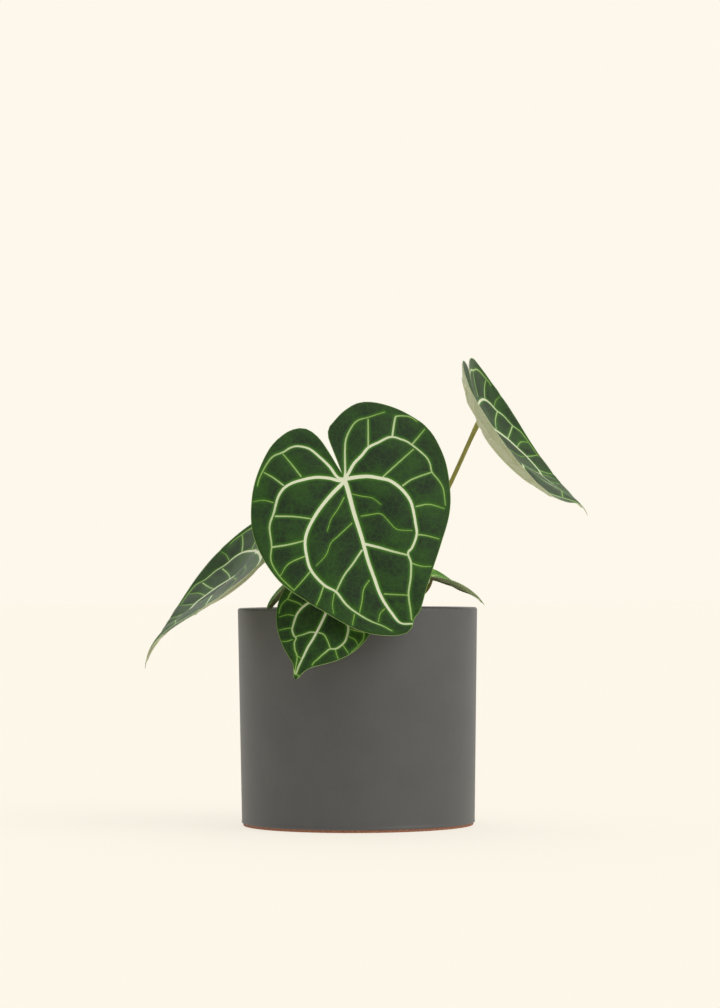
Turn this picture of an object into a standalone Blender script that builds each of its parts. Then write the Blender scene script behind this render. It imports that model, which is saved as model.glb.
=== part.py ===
# Potted anthurium: a young plant with velvety, white-veined heart leaves in a plain ceramic cylinder.
# Metres, +Z up. The origin is the middle of the pot's flat base, and the front leaf faces -Y.
import math
import random

import bmesh
import bpy
import numpy as np
from mathutils import Matrix, Vector

MM = 0.001
CLEAR = 0.3 * MM
MERGE = 0.01 * MM

# Pot
POT_HEIGHT = 115 * MM
POT_RIM_RADIUS = 63.5 * MM
POT_BASE_RADIUS = 61.7 * MM
POT_WALL = 4.2 * MM
POT_FLOOR = 6 * MM
FOOT_HEIGHT = 1.2 * MM
FOOT_INSET = 0.7 * MM
LIP_ROUND = 1.2 * MM
CORNER = 2 * MM
HOLE_RADIUS = 4 * MM
HOLE_CIRCLE = 26 * MM
HOLE_BEARING = 30
HOLES = 3
ROUND_STEPS = 56

# Potting mix
MIX_LEVEL = 99 * MM
MIX_SWELL = 1.1 * MM
MIX_STEPS = 40
CHIPS = 34
CHIP_LENGTH = 12 * MM
CHIP_RISE = 1.2 * MM
CHIP_NEAREST = 13 * MM
GOLDEN_TURN = 137.5

# Stem, standing in a plain hole in the mix
STEM_RADIUS = 6 * MM
STEM_FOOT = 66 * MM
STEM_TOP = 121 * MM
STEM_HOLE = STEM_RADIUS + CLEAR
STEM_STEPS = 16
SCAR_SPACING = 4.6 * MM
# Stubby roots on the stem: bearing in degrees, height and length in millimetres
ROOTS = [(30, 106, 5), (88, 104, 6.5), (146, 103.5, 5), (-80, 103.4, 3.5)]

# Leaf stalks
STALK_POINTS = 14
STALK_FLARE = 2.0
KNEE_LENGTH = 11 * MM
KNEE_SWELL = 1.22

# Blades
BLADE = 0.8 * MM
SMALL_BLADE = 0.65 * MM
RIB_RADIUS = 0.9 * MM

# How far a blade's bends run, in blade widths: each half, ahead of the stalk and behind it.
HALF = 0.6
AHEAD = 0.93
BEHIND = 0.42
SWAY_REACH = 0.81
CREASE = 0.07

# Outlines of one half of a blade: degrees round from the tip, and reach in blade widths.
HEART = [(0, .93), (1.2, .875), (3, .825), (7, .785), (14, .748), (24, .70), (36, .652), (50, .607),
         (66, .566), (84, .53), (102, .505), (120, .483), (138, .452), (152, .41), (163, .355),
         (170, .29), (173.5, .17), (175, .09), (180, .035)]
HANGING = [(0, .97), (1.6, .925), (3.2, .875), (5, .83), (8, .785), *HEART[4:]]
FRONT_LEFT = [(0, .82), (4, .845), (9, .84), (15, .80), (24, .69), (34, .637), (50, .605), (66, .575),
              (80, .54), (95, .482), (112, .432), (135, .396), (152, .376), (163, .355), (170, .32),
              (174.5, .25), (176, .15), (176.5, .09), (180, .035)]
FRONT_RIGHT = [(0, .82), (3, .79), (8, .765), (15, .72), (26, .665), (40, .612), (56, .575), (72, .542),
               (88, .538), (104, .545), (118, .52), (134, .484), (146, .448), (156, .385), (165, .325),
               (171.5, .29), (175.5, .24), (176.5, .15), (177, .09), (180, .035)]
YOUNG = [(0, .92), (2.5, .855), (6, .79), (14, .70), (28, .59), (48, .505), (66, .46), (84, .428),
         (102, .405), (120, .386), (138, .354), (152, .313), (163, .267),
         (170, .205), (173, .13), (175, .08), (180, .035)]

# Main ribs: degrees round from the midrib, and share of the way to the margin.
RIBS = [[(0, .06), (3, .26), (1, .41), (0, .62), (0, .8), (1, .93)],
        [(60, .06), (59, .31), (55, .52), (44, .71), (30, .8), (16, .81)],
        [(-80, .06), (-76, .25), (-66, .44), (-52, .61), (-38, .73), (-24, .78)],
        [(104, .06), (112, .25), (106, .53), (92, .72), (76, .83)],
        [(-124, .06), (-126, .25), (-120, .48), (-104, .72), (-86, .82)]]


class Leaf:
    """One blade and its stalk. Lengths are metres and angles are degrees.

    at: where the blade meets its stalk. points: the midrib's direction. faces: the upper side's direction.
    halves: how far the right and left halves lift from flat. curls: how far each then curls up.
    droop and hook: how far the midrib bends down, evenly and then at the tip. lobes: the back lobes' droop.
    twist: how far the blade rolls about its midrib, for each blade width ahead of the stalk.
    sway: how far the tip swings to the left, in blade widths.
    stalk: compass bearing, height and slope of its foot, and how strongly each end holds its direction.
    enters: shares of the blade's facing and pointing directions in the stalk's last direction.
    """

    def __init__(self, name, at, points, faces, width, right=HEART, left=HEART, halves=(0, 0), curls=(0, 0),
                 droop=0, hook=0, lobes=0, twist=0, sway=0, sides=36, rings=5, thick=SMALL_BLADE,
                 ribbed=False, young=False, radius=1 * MM, stalk=(0, 110 * MM, 45), holds=(.4, .3),
                 enters=(1, 0), drop=.7 * MM):
        self.name = name
        self.at = Vector(at) * MM
        self.width = width * MM
        self.right = right
        self.left = left
        self.halves = halves
        self.curls = curls
        self.droop = droop
        self.hook = hook
        self.lobes = lobes
        self.twist = twist
        self.sway = sway
        self.sides = sides
        self.rings = rings
        self.thick = thick
        self.ribbed = ribbed
        self.radius = radius
        self.stalk = stalk
        self.holds = holds
        self.enters = enters
        self.drop = drop
        self.young = young
        along = Vector(points).normalized()
        up = Vector(faces)
        up = (up - along * up.dot(along)).normalized()
        self.along = along
        self.up = up
        self.across = along.cross(up)


BIG = {"sides": 48, "rings": 6, "thick": BLADE, "ribbed": True}
LEAVES = [
    Leaf("front", (-6.4, -50, 182), (.40, -.34, -.85), (.15, -.90, .42), 106, FRONT_RIGHT, FRONT_LEFT,
         halves=(5, 5), curls=(-22, -12), droop=8, lobes=8, sway=.085, radius=1.25 * MM,
         stalk=(-95, 112 * MM, 62), holds=(.5, .22), enters=(.8, .5), drop=1.0 * MM, **BIG),
    Leaf("upper_right", (67.4, 5, 217), (.472, .109, -.875), (.88, -.008, .474), 86.5,
         halves=(-1, -32), curls=(50, 65), droop=-50, hook=65, lobes=-32, twist=2, sway=.13,
         radius=1.18 * MM, stalk=(4, 114 * MM, 48), holds=(.4, .14), enters=(1, -.6), drop=.8 * MM, **BIG),
    Leaf("left", (-54.1, -8, 144.4), (-.53, -.347, -.774), (-.845, .144, .515), 93.5,
         halves=(-38, 7), curls=(36, 58), droop=-36, hook=78, lobes=-11, twist=-2, sway=-.10,
         radius=1.15 * MM, stalk=(160, 112 * MM, 36), holds=(.42, .33), enters=(1, -.1), drop=.7 * MM, **BIG),
    Leaf("hanging", (-14, -66, 119.7), (-.38, -.40, -.84), (-.40, -.75, .50), 50, HANGING, HANGING,
         halves=(-20, 12), curls=(-20, 0), hook=20, lobes=5, sway=-.02, radius=.95 * MM,
         stalk=(-112, 107 * MM, 28), holds=(.45, .2), enters=(.85, .5), drop=.9 * MM),
    Leaf("small_right", (39.6, -10, 131.1), (.742, -.587, -.325), (.354, -.069, .933), 39.7, YOUNG, YOUNG,
         halves=(4, -11), curls=(3, 17), droop=-2, hook=40, lobes=-25, twist=31, sway=.10, young=True,
         radius=.75 * MM, stalk=(-35, 108 * MM, 45), holds=(.4, .4), enters=(1, -.2)),
    Leaf("young_left", (-30.5, -23, 129.4), (-.84, -.10, -.54), (-.54, -.04, .84), 30,
         halves=(14, 14), curls=(-5, -5), droop=26, young=True, radius=.8 * MM,
         stalk=(-145, 110 * MM, 48), holds=(.4, .3), enters=(1, .1)),
]

# Papery sheaths at the stem: bearing, foot height, length, outward lean in degrees.
SHEATHS = [(58, 112 * MM, 27 * MM, 12), (108, 107 * MM, 20 * MM, 20)]
SHEATH_WIDTH = 6 * MM
SHEATH_THICK = 0.7 * MM


def new_collection(name):
    collection = bpy.data.collections.new(name)
    bpy.context.scene.collection.children.link(collection)
    return collection


def clear_scene():
    for obj in list(bpy.data.objects):
        bpy.data.objects.remove(obj, do_unlink=True)


clear_scene()
PLANT = new_collection("potted_anthurium")
CUTTERS = new_collection("cutters")


def material(name, colour, roughness):
    made = bpy.data.materials.new(name)
    made.use_nodes = True
    shader = made.node_tree.nodes["Principled BSDF"]
    shader.inputs["Base Color"].default_value = (*colour, 1)
    shader.inputs["Roughness"].default_value = roughness
    shader.inputs["Metallic"].default_value = 0
    return made


GLAZE = material("satin_charcoal_glaze", (.105, .105, .105), .45)
MIX = material("bark_potting_mix", (.07, .04, .022), .95)
STEM = material("green_brown_stem", (.13, .12, .05), .6)
STALK = material("olive_leaf_stalk", (.22, .21, .05), .5)
LEAF = material("velvet_green_leaf", (.02, .06, .008), .6)
YOUNG_LEAF = material("young_green_leaf", (.07, .2, .01), .55)
SHEATH = material("papery_brown_sheath", (.28, .15, .07), .8)


def add_mesh(name, mesh, surface):
    obj = bpy.data.objects.new(name, mesh)
    PLANT.objects.link(obj)
    mesh.materials.append(surface)
    mesh.shade_smooth()
    mesh.set_sharp_from_angle(angle=math.radians(40))
    return obj


def evaluated_copy(obj):
    """The object's finished mesh, with loose caps welded, at its place in the world."""
    depsgraph = bpy.context.evaluated_depsgraph_get()
    mesh = bpy.data.meshes.new_from_object(obj.evaluated_get(depsgraph))
    mesh.transform(obj.matrix_world)
    weld(mesh)
    return mesh


def weld(mesh):
    bm = bmesh.new()
    bm.from_mesh(mesh)
    bmesh.ops.remove_doubles(bm, verts=bm.verts, dist=MERGE)
    bm.to_mesh(mesh)
    bm.free()


def turned(name, profile, surface, steps=ROUND_STEPS):
    """A profile of (radius, height) spun round the Z axis, given down its outer side."""
    mesh = bpy.data.meshes.new(name)
    bm = bmesh.new()
    points = [bm.verts.new((radius, 0, height)) for radius, height in profile]
    for first, second in zip(points, points[1:]):
        bm.edges.new((first, second))
    bm.to_mesh(mesh)
    bm.free()
    obj = add_mesh(name, mesh, surface)
    screw = obj.modifiers.new("turn", "SCREW")
    screw.steps = steps
    screw.render_steps = steps
    screw.use_merge_vertices = True
    screw.merge_threshold = MERGE
    solid = evaluated_copy(obj)
    bpy.data.objects.remove(obj)
    return add_mesh(name, solid, surface)


def join_all(base, pieces):
    """Fuses the pieces into the base with one union."""
    group = new_collection(base.name + "_pieces")
    for piece in pieces:
        for holder in list(piece.users_collection):
            holder.objects.unlink(piece)
        group.objects.link(piece)
    union = base.modifiers.new("fuse", "BOOLEAN")
    union.operation = "UNION"
    union.operand_type = "COLLECTION"
    union.collection = group
    union.solver = "EXACT"
    mesh = evaluated_copy(base)
    base.modifiers.clear()
    base.data = mesh
    for piece in pieces:
        bpy.data.objects.remove(piece)
    bpy.data.collections.remove(group)


# Pot and its drainage holes
def pot_profile():
    inner = POT_RIM_RADIUS - POT_WALL
    inner_foot = POT_BASE_RADIUS - POT_WALL
    foot = POT_BASE_RADIUS - FOOT_INSET
    round_angles = [math.radians(angle) for angle in (0, 45, 90)]
    lip = [(inner + LIP_ROUND * (1 - math.cos(a)), POT_HEIGHT - LIP_ROUND * (1 - math.sin(a)))
           for a in round_angles]
    outer_lip = [(POT_RIM_RADIUS - LIP_ROUND * (1 - math.sin(a)), POT_HEIGHT - LIP_ROUND * (1 - math.cos(a)))
                 for a in round_angles]
    inside = [(0, POT_FLOOR), (inner_foot - CORNER, POT_FLOOR), (inner_foot, POT_FLOOR + CORNER)]
    outside = [(POT_BASE_RADIUS, FOOT_HEIGHT + 1.6 * MM), (POT_BASE_RADIUS - .5 * MM, FOOT_HEIGHT + .3 * MM),
               (foot, FOOT_HEIGHT), (foot, 0), (0, 0)]
    return inside + lip + outer_lip + outside


def make_pot():
    pot = turned("pot", pot_profile(), GLAZE)
    for index in range(HOLES):
        bearing = math.tau * index / HOLES + math.radians(HOLE_BEARING)
        place = Vector((math.cos(bearing), math.sin(bearing), 0)) * HOLE_CIRCLE
        bpy.ops.mesh.primitive_cylinder_add(vertices=20, radius=HOLE_RADIUS, depth=4 * POT_FLOOR,
                                            location=place)
        cutter = bpy.context.object
        cutter.name = f"drain_cutter_{index}"
        cutter.hide_render = True
        cutter.display_type = "WIRE"
        for holder in list(cutter.users_collection):
            holder.objects.unlink(cutter)
        CUTTERS.objects.link(cutter)
        cut = pot.modifiers.new(f"drain_{index}", "BOOLEAN")
        cut.operation = "DIFFERENCE"
        cut.object = cutter
        cut.solver = "EXACT"


# Potting mix: a turned plug with a gently uneven top, and bark chips bedded in it
def mix_surface(x, y):
    waves = math.sin(x * 171 + .6) * math.cos(y * 143 - .4) + .6 * math.sin(x * 318 - y * 275 + 1.1)
    return MIX_LEVEL + MIX_SWELL * waves


def make_mix():
    inner = POT_RIM_RADIUS - (POT_RIM_RADIUS - POT_BASE_RADIUS) * (1 - MIX_LEVEL / POT_HEIGHT) - POT_WALL
    radius_top = inner - 2 * CLEAR
    radius_foot = POT_BASE_RADIUS - POT_WALL - CLEAR
    hole_floor = STEM_FOOT - CLEAR
    rings = [STEM_HOLE + (radius_top - STEM_HOLE) * share for share in (0, .16, .33, .5, .66, .83, 1)]
    profile = [(0, hole_floor), (STEM_HOLE, hole_floor)]
    profile += [(radius, MIX_LEVEL) for radius in rings]
    profile += [(radius_foot, POT_FLOOR + CORNER + CLEAR), (radius_foot - CORNER, POT_FLOOR + CLEAR),
                (0, POT_FLOOR + CLEAR)]
    mix = turned("potting_mix", profile, MIX, MIX_STEPS)
    for vert in mix.data.vertices:
        if abs(vert.co.z - MIX_LEVEL) < MERGE:
            vert.co.z = mix_surface(vert.co.x, vert.co.y)
    draw = random.Random(11)
    chips = []
    for index in range(CHIPS):
        reach = CHIP_NEAREST + (radius_top - CHIP_NEAREST - .6 * CHIP_LENGTH) * math.sqrt(draw.random())
        bearing = index * math.radians(GOLDEN_TURN)
        x = reach * math.cos(bearing)
        y = reach * math.sin(bearing)
        size = CHIP_LENGTH * draw.uniform(.6, 1)
        mesh = bpy.data.meshes.new("chip")
        bm = bmesh.new()
        bmesh.ops.create_icosphere(bm, subdivisions=1, radius=.5)
        bmesh.ops.scale(bm, verts=bm.verts, vec=(size, size * draw.uniform(.5, .75), size * .42))
        round_z = Matrix.Rotation(draw.uniform(0, math.tau), 3, "Z")
        tilt = Matrix.Rotation(draw.uniform(-.3, .3), 3, "X")
        bmesh.ops.rotate(bm, verts=bm.verts, cent=(0, 0, 0), matrix=round_z @ tilt)
        bmesh.ops.translate(bm, verts=bm.verts, vec=(x, y, mix_surface(x, y) + CHIP_RISE - size * .1))
        bm.to_mesh(mesh)
        bm.free()
        chips.append(add_mesh(f"chip_{index}", mesh, MIX))
    join_all(mix, chips)


# Stem: a short trunk ringed by old leaf scars, with stubby roots
def make_stem():
    profile = [(0, STEM_TOP), (1.6 * MM, STEM_TOP - .5 * MM), (3.1 * MM, STEM_TOP - 2.5 * MM)]
    height = STEM_TOP - 5 * MM
    while height > MIX_LEVEL - 6 * MM:
        profile += [(STEM_RADIUS - .9 * MM, height), (STEM_RADIUS, height - 1.2 * MM),
                    (STEM_RADIUS - .2 * MM, height - 3.6 * MM)]
        height -= SCAR_SPACING
    profile += [(STEM_RADIUS - .4 * MM, height), (STEM_RADIUS - 1 * MM, STEM_FOOT + 2 * MM),
                (STEM_RADIUS - 2 * MM, STEM_FOOT), (0, STEM_FOOT)]
    stem = turned("stem", profile, STEM, STEM_STEPS)
    roots = []
    for bearing, height, length in ROOTS:
        mesh = bpy.data.meshes.new("root")
        bm = bmesh.new()
        bmesh.ops.create_cone(bm, cap_ends=True, segments=8, radius1=1.5 * MM, radius2=.8 * MM,
                              depth=length * MM)
        bmesh.ops.translate(bm, verts=bm.verts, vec=(0, 0, length * MM / 2))
        turn = Matrix.Rotation(math.radians(bearing), 3, "Z") @ Matrix.Rotation(math.radians(82), 3, "Y")
        bmesh.ops.rotate(bm, verts=bm.verts, cent=(0, 0, 0), matrix=turn)
        out = Vector((math.cos(math.radians(bearing)), math.sin(math.radians(bearing)), 0))
        place = out * (STEM_RADIUS - 2 * MM) + Vector((0, 0, height * MM))
        bmesh.ops.translate(bm, verts=bm.verts, vec=place)
        bm.to_mesh(mesh)
        bm.free()
        roots.append(add_mesh("root", mesh, STEM))
    join_all(stem, roots)


# Blades
def smooth_line(points, per_span):
    """A Catmull-Rom line through the points."""
    points = np.asarray(points, float)
    padded = np.vstack([2 * points[0] - points[1], points, 2 * points[-1] - points[-2]])
    line = []
    for index in range(len(points) - 1):
        a, b, c, d = padded[index:index + 4]
        for step in range(per_span):
            t = step / per_span
            line.append(.5 * (2 * b + (c - a) * t + (2 * a - 5 * b + 4 * c - d) * t * t
                              + (3 * b - a - 3 * c + d) * t ** 3))
    line.append(points[-1])
    return np.array(line)


def even_line(points, count):
    """The same line with count + 1 evenly spread points."""
    steps = np.r_[0, np.cumsum(np.linalg.norm(np.diff(points, axis=0), axis=1))]
    wanted = np.linspace(0, steps[-1], count + 1)
    return np.stack([np.interp(wanted, steps, column) for column in points.T], axis=1)


def half_outline(half, side):
    degrees, reach = np.array(half, float).T
    turn = np.radians(degrees)
    return smooth_line(np.stack([side * reach * np.sin(turn), reach * np.cos(turn)], axis=1), 8)


def margin(leaf, count):
    """The margin in blade widths, from the notch round the right half to the tip and back round the left."""
    right = even_line(half_outline(leaf.right, -1), count // 2)
    left = even_line(half_outline(leaf.left, 1), count // 2)
    return np.vstack([right[::-1], left[1:]])


def bent_line(angles, length):
    """Along and up, at even steps of a line of this length whose slope follows the angles."""
    step = length / (len(angles) - 1)
    return np.r_[0, np.cumsum(np.cos(angles))[:-1]] * step, np.r_[0, np.cumsum(np.sin(angles))[:-1]] * step


def blade_place(leaf, u, v):
    """World places of points on the upper side, given in blade widths across and along from the stalk."""
    share = np.linspace(0, 1, 200)
    across = np.zeros_like(u)
    raised = np.zeros_like(u)
    for side, lift, curl in ((-1, leaf.halves[0], leaf.curls[0]), (1, leaf.halves[1], leaf.curls[1])):
        slope = np.radians(lift) * (1 - np.exp(-share / CREASE)) + np.radians(curl) * share
        out, up = bent_line(slope, HALF * leaf.width)
        here = u * side > 0
        across[here] = side * np.interp(np.abs(u[here]) / HALF, share, out)
        raised[here] = np.interp(np.abs(u[here]) / HALF, share, up)
    across += leaf.sway * leaf.width * np.sin(np.pi * np.clip(v / SWAY_REACH, 0, 2) ** 2)

    along = np.zeros_like(u)
    risen = np.zeros_like(u)
    slope_here = np.zeros_like(u)
    for way, reach, bend in ((1, AHEAD, -np.radians(leaf.droop) * share - np.radians(leaf.hook) * share ** 8),
                             (-1, BEHIND, -np.radians(leaf.lobes) * share)):
        out, up = bent_line(bend, reach * leaf.width)
        here = v * way > 0
        along[here] = way * np.interp(np.abs(v[here]) / reach, share, out)
        risen[here] = np.interp(np.abs(v[here]) / reach, share, up)
        slope_here[here] = way * np.interp(np.abs(v[here]) / reach, share, bend)

    roll = np.radians(leaf.twist) * v
    rolled = across * np.cos(roll) - raised * np.sin(roll)
    lifted = across * np.sin(roll) + raised * np.cos(roll)
    forward = along - np.sin(slope_here) * lifted
    upward = risen + np.cos(slope_here) * lifted
    local = np.stack([rolled, forward, upward], axis=-1)
    return np.array(leaf.at) + local @ np.array([leaf.across, leaf.along, leaf.up])


def blade_up(leaf, u, v):
    """The upper side's direction at points of the blade."""
    step = .004
    across = blade_place(leaf, u + step, v) - blade_place(leaf, u - step, v)
    along = blade_place(leaf, u, v + step) - blade_place(leaf, u, v - step)
    normal = np.cross(across, along)
    return normal / np.linalg.norm(normal, axis=1)[:, None]


def make_blade(leaf):
    """A polar grid from the stalk to the margin, triangulated, then extruded to its thickness underneath."""
    mesh = bpy.data.meshes.new(leaf.name)
    bm = bmesh.new()
    bmesh.ops.create_grid(bm, x_segments=leaf.sides, y_segments=leaf.rings, size=1)
    edge = margin(leaf, leaf.sides)
    across = bm.verts.layers.float.new("across")
    along = bm.verts.layers.float.new("along")
    for vert in bm.verts:
        column = round((vert.co.x + 1) / 2 * leaf.sides)
        ring = (vert.co.y + 1) / 2
        vert[across] = edge[column, 0] * ring
        vert[along] = edge[column, 1] * ring
    place_verts(leaf, bm.verts, across, along, 0)
    bmesh.ops.remove_doubles(bm, verts=bm.verts, dist=MERGE)
    bmesh.ops.triangulate(bm, faces=bm.faces)
    under = bmesh.ops.extrude_face_region(bm, geom=bm.faces[:], use_keep_orig=True)["geom"]
    under_verts = [item for item in under if isinstance(item, bmesh.types.BMVert)]
    place_verts(leaf, under_verts, across, along, leaf.thick)
    bmesh.ops.recalc_face_normals(bm, faces=bm.faces)
    bm.to_mesh(mesh)
    bm.free()
    blade = add_mesh("leaf_" + leaf.name, mesh, YOUNG_LEAF if leaf.young else LEAF)
    if leaf.ribbed:
        join_all(blade, [make_rib(leaf, route, index) for index, route in enumerate(RIBS)])


def place_verts(leaf, verts, across, along, depth):
    """Moves points, which hold their place on the flat blade, to their place in the world."""
    u = np.array([vert[across] for vert in verts])
    v = np.array([vert[along] for vert in verts])
    for vert, place in zip(verts, blade_place(leaf, u, v) - blade_up(leaf, u, v) * depth):
        vert.co = place


def make_rib(leaf, route, index):
    """One main vein, standing out under the blade and thinning towards the margin."""
    edge = margin(leaf, 200)
    turn = np.degrees(np.arctan2(edge[:, 0], edge[:, 1]))
    reach = np.hypot(edge[:, 0], edge[:, 1])
    order = np.argsort(turn)
    degrees, share = np.array(route, float).T
    distance = share * np.interp(degrees, turn[order], reach[order])
    flat = np.stack([distance * np.sin(np.radians(degrees)), distance * np.cos(np.radians(degrees))], axis=1)
    line = even_line(smooth_line(flat, 8), 7)
    top = blade_place(leaf, line[:, 0], line[:, 1])
    radii = RIB_RADIUS * np.linspace(1, .62, len(line))
    centres = top - blade_up(leaf, line[:, 0], line[:, 1]) * (leaf.thick * .35 + radii[:, None] * .75)
    return tube(f"rib_{index}", centres, radii, LEAF, 1)


def tube(name, centres, radii, surface, resolution=2):
    """A closed round tube through the points, as a mesh."""
    curve = bpy.data.curves.new(name, "CURVE")
    curve.dimensions = "3D"
    curve.bevel_depth = 1
    curve.bevel_resolution = resolution
    curve.use_fill_caps = True
    spline = curve.splines.new("POLY")
    spline.points.add(len(centres) - 1)
    for point, centre, radius in zip(spline.points, centres, radii):
        point.co = (*centre, 1)
        point.radius = radius
    obj = bpy.data.objects.new(name + "_curve", curve)
    PLANT.objects.link(obj)
    mesh = evaluated_copy(obj)
    bpy.data.objects.remove(obj)
    return add_mesh(name, mesh, surface)


# Leaf stalks
def bezier(p0, p1, p2, p3, count):
    t = np.linspace(0, 1, count)[:, None]
    return (1 - t) ** 3 * p0 + 3 * (1 - t) ** 2 * t * p1 + 3 * (1 - t) * t * t * p2 + t ** 3 * p3


def make_stalk(leaf):
    """A stalk from the stem's side to the blade's underside, with a broad foot and a swollen knee."""
    bearing, height, slope = leaf.stalk
    bearing = math.radians(bearing)
    slope = math.radians(slope)
    foot_radius = leaf.radius * STALK_FLARE
    out = Vector((math.cos(bearing), math.sin(bearing), 0))
    rises = out * math.cos(slope) + Vector((0, 0, math.sin(slope)))
    foot = out * (STEM_RADIUS + CLEAR + foot_radius * math.sin(slope)) + Vector((0, 0, height))
    enters = (leaf.up * leaf.enters[0] + leaf.along * leaf.enters[1]).normalized()
    top = leaf.at - leaf.up * leaf.thick - enters * leaf.drop
    span = (top - foot).length
    line = bezier(np.array(foot), np.array(foot + rises * span * leaf.holds[0]),
                  np.array(top - enters * span * leaf.holds[1]), np.array(top), 60)
    centres = even_line(line, STALK_POINTS - 1)
    share = np.linspace(0, 1, STALK_POINTS)
    length = np.linalg.norm(np.diff(centres, axis=0), axis=1).sum()
    from_top = (1 - share) * length
    flare = (STALK_FLARE - 1) * np.clip(1 - share / .22, 0, 1) ** 2
    knee = (KNEE_SWELL - 1) * np.exp(-((from_top - KNEE_LENGTH / 2) / (KNEE_LENGTH / 2)) ** 2)
    tube("stalk_" + leaf.name, centres, leaf.radius * (1 + flare + knee), STALK)


# Sheaths: narrow pointed scales, rolled about the stem
def make_sheath(index, bearing, foot, length, lean):
    mesh = bpy.data.meshes.new("sheath")
    bm = bmesh.new()
    bmesh.ops.create_grid(bm, x_segments=4, y_segments=6, size=1)
    turn = math.radians(bearing)
    out = Vector((math.cos(turn), math.sin(turn), 0))
    side = Vector((-math.sin(turn), math.cos(turn), 0))
    rolled = STEM_RADIUS + CLEAR + SHEATH_THICK
    for vert in bm.verts:
        share = (vert.co.y + 1) / 2
        half = .5 * SHEATH_WIDTH * (1 - share ** 2.2) ** .8 + .25 * MM
        wrap = vert.co.x * half / rolled
        reach = rolled + math.tan(math.radians(lean)) * length * share ** 1.4
        rise = Vector((0, 0, foot + length * share))
        vert.co = out * reach * math.cos(wrap) + side * rolled * math.sin(wrap) + rise
    bmesh.ops.triangulate(bm, faces=bm.faces)
    bmesh.ops.recalc_face_normals(bm, faces=bm.faces)
    if sum((face.normal * face.calc_area() for face in bm.faces), Vector()).dot(out) < 0:
        bmesh.ops.reverse_faces(bm, faces=bm.faces)
    bm.to_mesh(mesh)
    bm.free()
    sheath = add_mesh(f"sheath_{index + 1}", mesh, SHEATH)
    solidify = sheath.modifiers.new("thickness", "SOLIDIFY")
    solidify.thickness = SHEATH_THICK
    solidify.offset = -1


make_pot()
make_mix()
make_stem()
for number, sheath_facts in enumerate(SHEATHS):
    make_sheath(number, *sheath_facts)
for one in LEAVES:
    make_stalk(one)
    make_blade(one)
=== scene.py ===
# Potted anthurium: velvety white-veined leaves in a satin charcoal cylinder, in a plain pale studio.
# Lengths are metres unless a name or comment says millimetres. The front leaf faces -Y.
import math
import random

import bmesh
import bpy
import numpy as np
from mathutils import Matrix, Vector


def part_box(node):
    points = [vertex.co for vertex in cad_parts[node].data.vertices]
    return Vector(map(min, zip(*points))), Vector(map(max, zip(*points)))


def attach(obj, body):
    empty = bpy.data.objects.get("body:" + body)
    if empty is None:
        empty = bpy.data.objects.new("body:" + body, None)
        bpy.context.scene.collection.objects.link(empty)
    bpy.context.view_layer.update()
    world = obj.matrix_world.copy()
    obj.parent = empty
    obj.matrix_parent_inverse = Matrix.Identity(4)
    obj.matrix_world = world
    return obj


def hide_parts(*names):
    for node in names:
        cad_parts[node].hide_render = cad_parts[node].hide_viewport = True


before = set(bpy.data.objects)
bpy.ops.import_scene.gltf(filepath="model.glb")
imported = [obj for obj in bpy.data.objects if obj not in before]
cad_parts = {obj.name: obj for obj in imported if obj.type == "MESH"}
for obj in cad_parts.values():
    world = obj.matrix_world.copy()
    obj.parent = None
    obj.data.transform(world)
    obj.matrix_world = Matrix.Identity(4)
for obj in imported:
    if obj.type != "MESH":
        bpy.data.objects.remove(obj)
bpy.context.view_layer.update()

MM = 0.001
POT_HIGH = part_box("pot")[1]
MIX_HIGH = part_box("potting_mix")[1]

# Pot
POT_RADIUS = POT_HIGH.x
POT_FOOT_RADIUS = 61.7 * MM
POT_WALL = 4.2 * MM
POT_FLOOR = 6 * MM
FOOT_HEIGHT = 1.2 * MM
FOOT_INSET = 0.7 * MM
LIP_ROUND = 1.2 * MM
CORNER = 2 * MM
HOLE_RADIUS = 4 * MM
HOLE_CIRCLE = 26 * MM
HOLE_BEARING = 30
HOLES = 3
TURN_STEPS = 192

# Potting mix
MIX_LEVEL = 99 * MM
MIX_RADIUS = MIX_HIGH.x
MIX_SWELL = 1.1 * MM
GOLDEN_TURN = 137.5

# Stem and stalks
STEM_RADIUS = 6 * MM
STEM_TOP = 121 * MM
SCAR_SPACING = 4.6 * MM
CLEAR = 0.3 * MM
STALK_FLARE = 2.0
KNEE_LENGTH = 11 * MM
KNEE_SWELL = 1.22

# How far a blade's bends run, in blade widths: each half, ahead of the stalk and behind it.
HALF = 0.6
AHEAD = 0.93
BEHIND = 0.42
SWAY_REACH = 0.81
CREASE = 0.07
POINTS_AT_ONCE = 500

# Outlines of one half of a blade: degrees round from the tip, and reach in blade widths.
HEART = [(0, .93), (1.2, .875), (3, .825), (7, .785), (14, .748), (24, .70), (36, .652), (50, .607),
         (66, .566), (84, .53), (102, .505), (120, .483), (138, .452), (152, .41), (163, .355),
         (170, .29), (173.5, .17), (175, .09), (180, .035)]
HANGING = [(0, .97), (1.6, .925), (3.2, .875), (5, .83), (8, .785), *HEART[4:]]
FRONT_LEFT = [(0, .82), (4, .845), (9, .84), (15, .80), (24, .69), (34, .637), (50, .605), (66, .575),
              (80, .54), (95, .482), (112, .432), (135, .396), (152, .376), (163, .355), (170, .32),
              (174.5, .25), (176, .15), (176.5, .09), (180, .035)]
FRONT_RIGHT = [(0, .82), (3, .79), (8, .765), (15, .72), (26, .665), (40, .612), (56, .575), (72, .542),
               (88, .538), (104, .545), (118, .52), (134, .484), (146, .448), (156, .385), (165, .325),
               (171.5, .29), (175.5, .24), (176.5, .15), (177, .09), (180, .035)]
YOUNG = [(0, .92), (2.5, .855), (6, .79), (14, .70), (28, .59), (48, .505), (66, .46), (84, .428),
         (102, .405), (120, .386), (138, .354), (152, .313), (163, .267),
         (170, .205), (173, .13), (175, .08), (180, .035)]

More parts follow.
